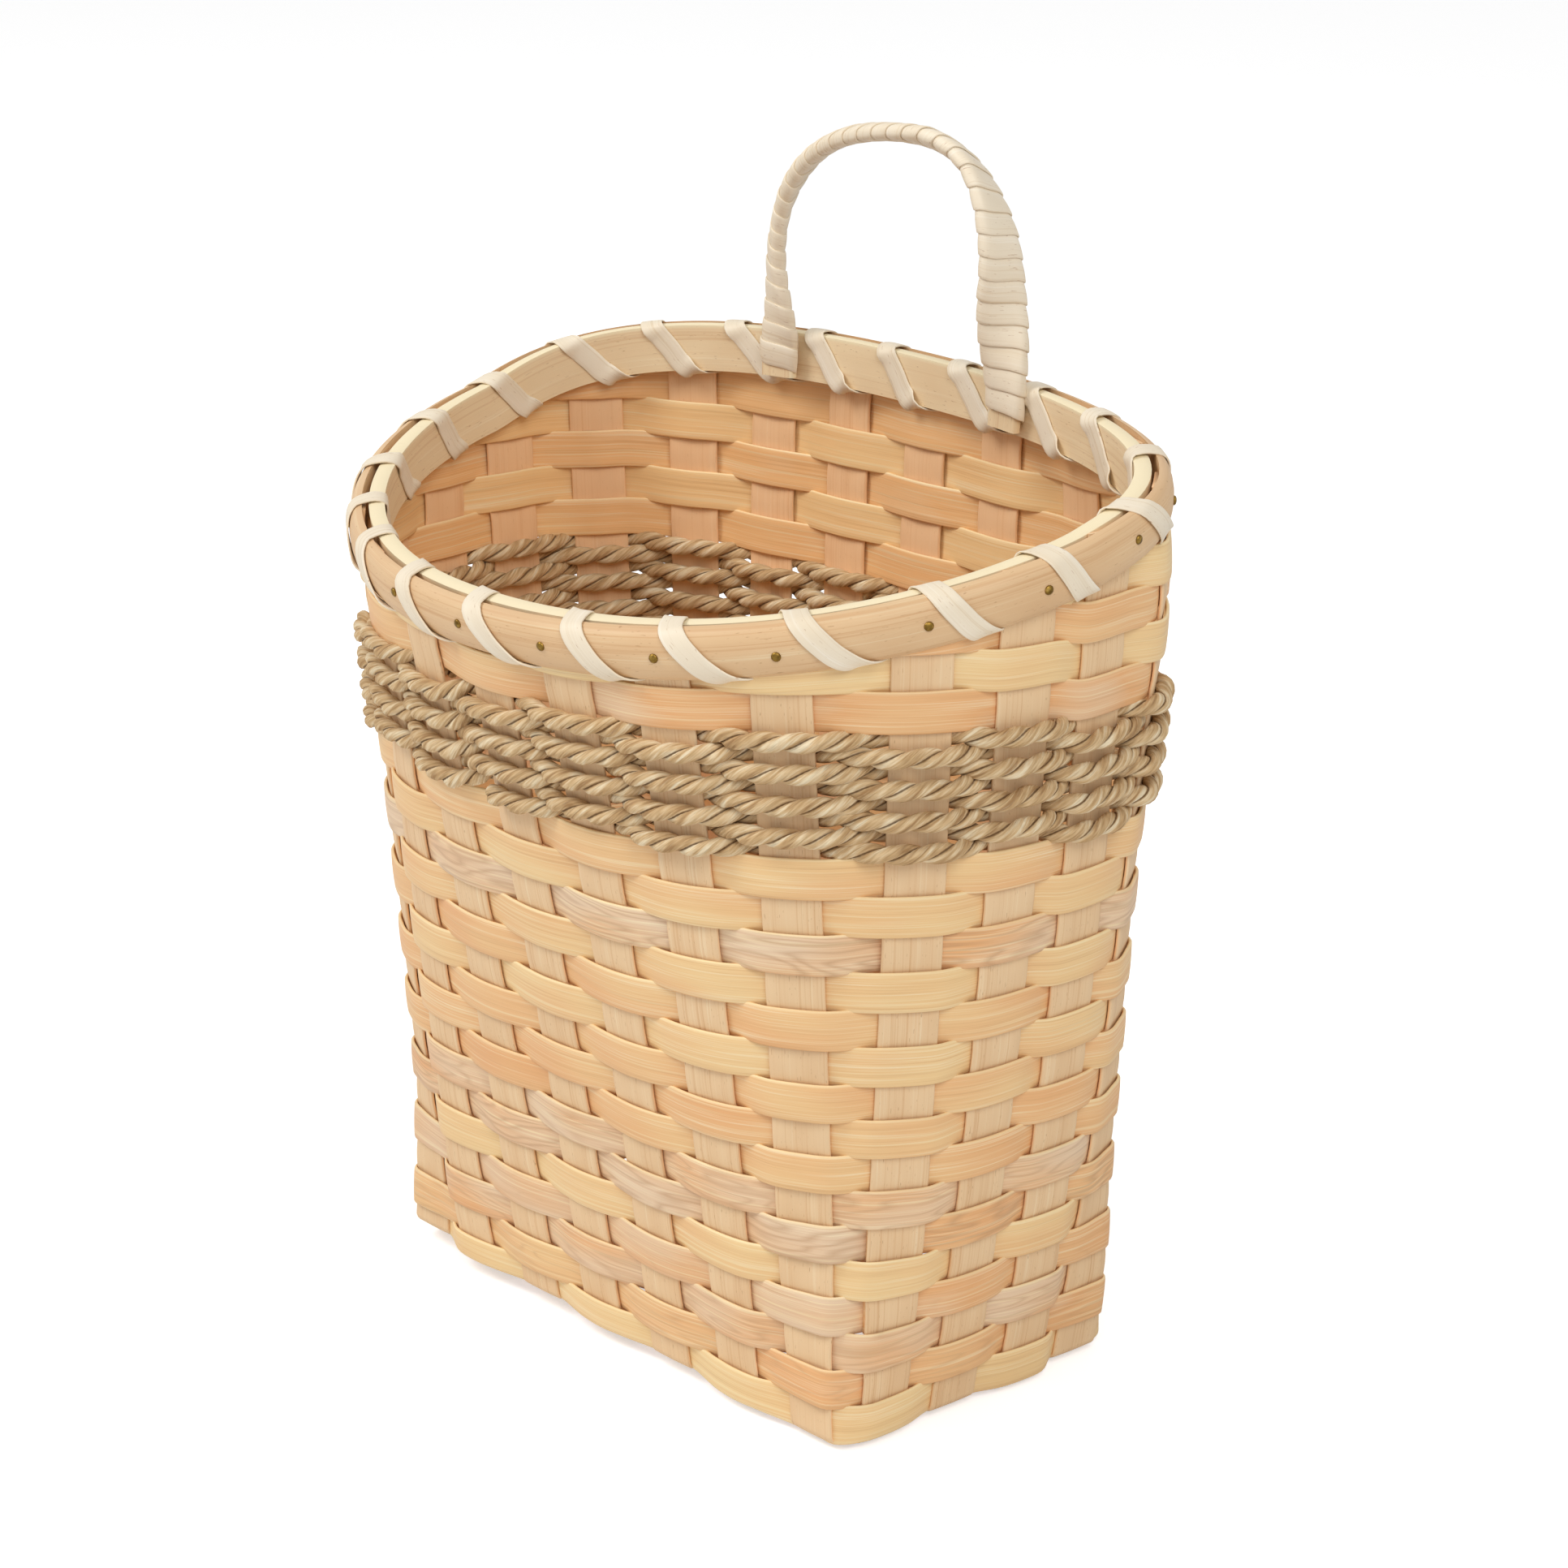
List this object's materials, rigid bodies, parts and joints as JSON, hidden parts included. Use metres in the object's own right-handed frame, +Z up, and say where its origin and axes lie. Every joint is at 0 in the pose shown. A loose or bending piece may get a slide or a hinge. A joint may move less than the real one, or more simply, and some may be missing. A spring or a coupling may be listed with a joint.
{
  "type": "hanging wall basket",
  "caption": "Woven splint wall basket: rectangular floor, oval mouth rising to the back, flat back, band of seagrass, lashed rim hoops and a strip-wound arch handle inside the back rim.",
  "frame": {"origin": "middle of the bounding box in plan, on the surface that the floor stands on", "axes": "+X along the long side, to the right as seen from the front; +Y towards the wall side, where the rim is highest and the handle stands; +Z up"},
  "size_m": [0.2422, 0.1584, 0.3042],
  "materials": {
    "strip_wood": "matte",
    "weaver_wood": "satin",
    "seagrass": "matte",
    "hoop_wood": "satin",
    "cane_strip": "satin",
    "brad_metal": "satin"
  },
  "bodies": {
    "root": {"cross_strip_a": "strip_wood", "cross_strip_b": "strip_wood", "cross_strip_c": "strip_wood", "cross_strip_d": "strip_wood", "cross_strip_e": "strip_wood", "cross_strip_f": "strip_wood", "cross_strip_g": "strip_wood", "long_strip_h": "strip_wood", "long_strip_i": "strip_wood", "long_strip_j": "strip_wood", "long_strip_k": "strip_wood", "weaver_row_01": "weaver_wood", "weaver_row_02": "weaver_wood", "weaver_row_03": "weaver_wood", "weaver_row_04": "weaver_wood", "weaver_row_05": "weaver_wood", "weaver_row_06": "weaver_wood", "weaver_row_07": "weaver_wood", "weaver_row_08": "weaver_wood", "weaver_row_09": "weaver_wood", "weaver_row_10": "weaver_wood", "weaver_row_11": "weaver_wood", "weaver_row_12": "weaver_wood", "weaver_row_13": "weaver_wood", "weaver_row_14": "weaver_wood", "weaver_row_15": "weaver_wood", "weaver_row_16": "weaver_wood", "weaver_row_17": "weaver_wood", "weaver_row_18": "weaver_wood", "weaver_row_19": "weaver_wood", "weaver_row_20": "weaver_wood", "weaver_row_21": "weaver_wood", "seagrass_strand_1": "seagrass", "seagrass_strand_2": "seagrass", "rim_inner_hoop": "hoop_wood", "rim_outer_hoop": "hoop_wood", "handle_core": "hoop_wood", "rim_lashing": "cane_strip", "handle_wrap": "cane_strip", "brad_01": "brad_metal", "brad_02": "brad_metal", "brad_03": "brad_metal", "brad_04": "brad_metal", "brad_05": "brad_metal", "brad_06": "brad_metal", "brad_07": "brad_metal", "brad_08": "brad_metal", "brad_09": "brad_metal", "brad_10": "brad_metal", "brad_11": "brad_metal", "brad_12": "brad_metal", "brad_13": "brad_metal", "brad_17": "brad_metal", "brad_18": "brad_metal", "brad_19": "brad_metal", "brad_20": "brad_metal", "brad_21": "brad_metal", "brad_22": "brad_metal"}
  },
  "joints": []
}
